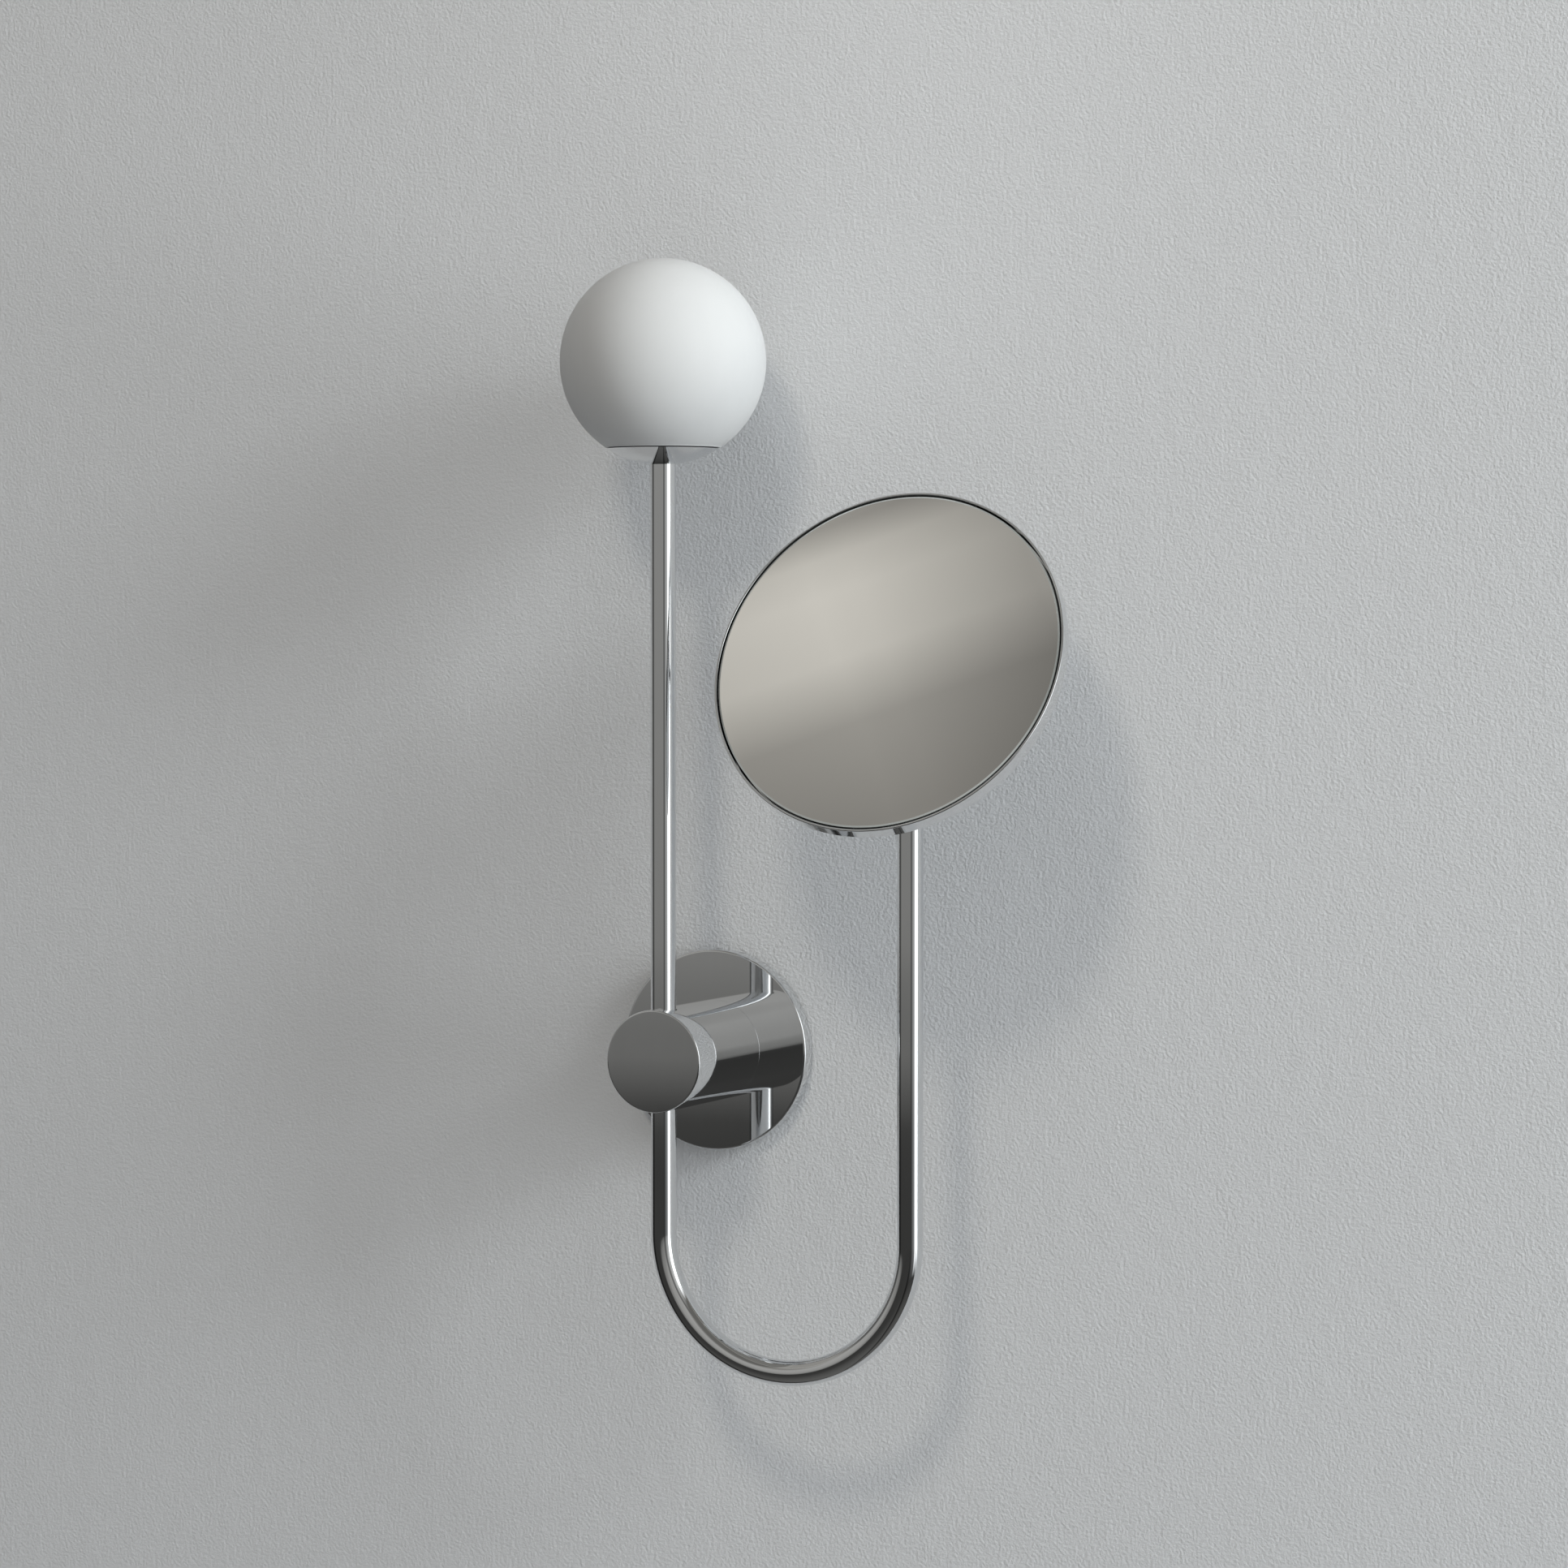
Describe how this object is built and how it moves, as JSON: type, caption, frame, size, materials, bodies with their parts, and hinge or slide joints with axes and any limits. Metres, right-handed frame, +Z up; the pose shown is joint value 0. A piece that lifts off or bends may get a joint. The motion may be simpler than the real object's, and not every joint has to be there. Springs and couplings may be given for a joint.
{
  "type": "wall light with shaving mirror",
  "caption": "Chrome wall light: a round wall plate and boss carry a swivelling U-shaped tube with an opal globe on top and a tilting round shaving mirror on its other end.",
  "frame": {"origin": "centre of the wall plate, on the face of the wall", "axes": "+Z up along the tubes, +Y into the wall, +X towards the mirror; the part stands out from the wall towards -Y"},
  "size_m": [0.2675, 0.1323, 0.5442],
  "materials": {
    "chrome": "mirror-polished chrome plate",
    "mirror_glass": "silvered float glass with a narrow ground edge",
    "opal_glass": "satin opal white blown glass",
    "zinc_steel": "zinc-plated sheet steel",
    "steel_screw": "plain stainless fasteners",
    "brass": "turned brass",
    "aluminium": "turned or sheet aluminium",
    "nylon": "natural nylon",
    "white_plastic": "moulded connector plastic",
    "ceramic": "glazed ceramic",
    "lamp_body": "frosted lamp capsule",
    "black_rubber": "EPDM or silicone rubber",
    "foam": "closed-cell adhesive foam"
  },
  "bodies": {
    "wall_mount": {"wall_bracket": "zinc_steel", "earth_screw": "brass", "plate_screws": "steel_screw", "plate_gasket": "black_rubber", "wall_plate": "chrome", "stiffener": "zinc_steel", "cable_grommet": "black_rubber", "terminal_block": "white_plastic", "terminal_screw": "steel_screw", "boss": "chrome", "swivel_block": "brass", "upper_bush": "nylon", "lower_bush": "nylon", "friction_pad": "nylon", "disc_springs": "steel_screw", "friction_screw": "steel_screw", "tie_screws": "steel_screw"},
    "arm": {"arm_tube": "chrome", "stem_collar": "brass", "stop_screw": "steel_screw", "stem_nipple": "brass", "globe_cup": "chrome", "globe_carrier": "aluminium", "cup_nut": "brass", "globe_gasket": "black_rubber", "globe_glass": "opal_glass", "holder_bracket": "zinc_steel", "bracket_screws": "steel_screw", "lamp_holder": "ceramic", "lamp": "lamp_body", "post_bush": "brass", "post_washer": "nylon"},
    "mirror_swivel": {"swivel_fork": "chrome", "spindle_screw": "steel_screw", "tilt_bolt": "chrome", "tilt_nut": "chrome", "tilt_washers": "nylon"},
    "mirror_head": {"mirror_hub": "chrome", "hub_screws": "steel_screw", "mirror_housing": "chrome", "backing_plate": "aluminium", "mirror_pad": "foam", "mirror_glass": "mirror_glass"}
  },
  "joints": [
    {"name": "arm_swivel", "type": "hinge", "parent": "wall_mount", "child": "arm", "pos_m": [0, -0.066, 0], "axis": [0, 0, -1], "range_deg": [0, 180]},
    {"name": "mirror_turn", "type": "hinge", "parent": "arm", "child": "mirror_swivel", "pos_m": [0.13, -0.066, 0.1819], "axis": [0, 0, -1], "continuous": true},
    {"name": "mirror_tilt", "type": "hinge", "parent": "mirror_swivel", "child": "mirror_head", "pos_m": [0.13, -0.066, 0.1819], "axis": [-1, 0, 0], "range_deg": [-35, 45]}
  ]
}
